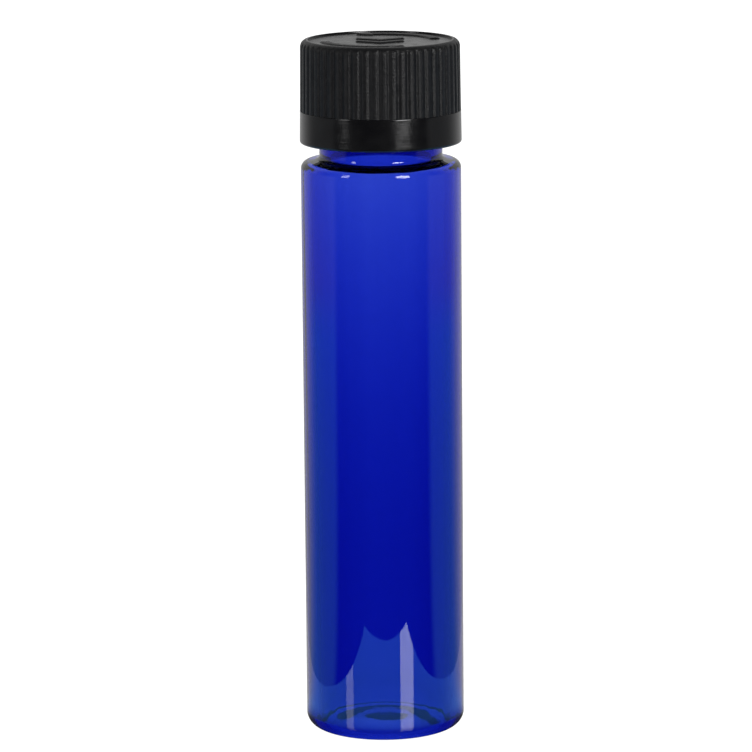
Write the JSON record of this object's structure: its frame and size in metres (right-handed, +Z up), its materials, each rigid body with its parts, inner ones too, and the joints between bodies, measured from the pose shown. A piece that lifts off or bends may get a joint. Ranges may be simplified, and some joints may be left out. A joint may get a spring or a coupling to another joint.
{
  "type": "prescription vial",
  "caption": "Tall round tinted vial with a threaded neck and a two-shell push-down-and-turn cap with a foam liner.",
  "frame": {"origin": "middle of the standing ring under the vial, on the surface it stands on", "axes": "+Z up along the vial's axis, towards the cap; -Y faces the viewer"},
  "size_m": [0.0302, 0.0302, 0.1313],
  "materials": {
    "tinted_pet": "clear cobalt-blue PET, polished",
    "liner_foam": "closed-cell polyethylene foam, matte",
    "white_polypropylene": "moulded polypropylene, satin",
    "black_polypropylene": "moulded polypropylene: matte on the ribs and the raised marks, glossy on the lower band"
  },
  "bodies": {
    "vial": {"vial_body": "tinted_pet"},
    "seal": {"liner": "liner_foam"},
    "inner_closure": {"inner_cap": "white_polypropylene"},
    "fingers": {"spring_finger_1": "black_polypropylene", "spring_finger_2": "black_polypropylene", "spring_finger_3": "black_polypropylene", "spring_finger_4": "black_polypropylene", "spring_finger_5": "black_polypropylene", "spring_finger_6": "black_polypropylene", "spring_finger_7": "black_polypropylene", "spring_finger_8": "black_polypropylene"},
    "outer_closure": {"outer_cap": "black_polypropylene"}
  },
  "joints": [
    {"name": "cap_lift", "type": "slide", "parent": "vial", "child": "seal", "axis": [0, 0, 1], "range_m": [0, 0.01905]},
    {"name": "cap_turn", "type": "hinge", "parent": "seal", "child": "inner_closure", "pos_m": [0, 0, 0.12], "axis": [0, 0, 1], "range_deg": [0, 2161]},
    {"name": "cap_spin", "type": "hinge", "parent": "inner_closure", "child": "fingers", "pos_m": [0, 0, 0.1285], "axis": [0, 0, 1], "continuous": true},
    {"name": "cap_press", "type": "slide", "parent": "fingers", "child": "outer_closure", "axis": [0, 0, 1], "range_m": [-0.0012, 0], "stiffness_N_per_m": 15000, "springref_m": 0.0003, "deforming": ["spring_finger_1", "spring_finger_2", "spring_finger_3", "spring_finger_4", "spring_finger_5", "spring_finger_6", "spring_finger_7", "spring_finger_8"]}
  ],
  "couplings": [
    {"joint": "cap_turn", "follows": "cap_lift", "rad_per_m": 1979}
  ]
}
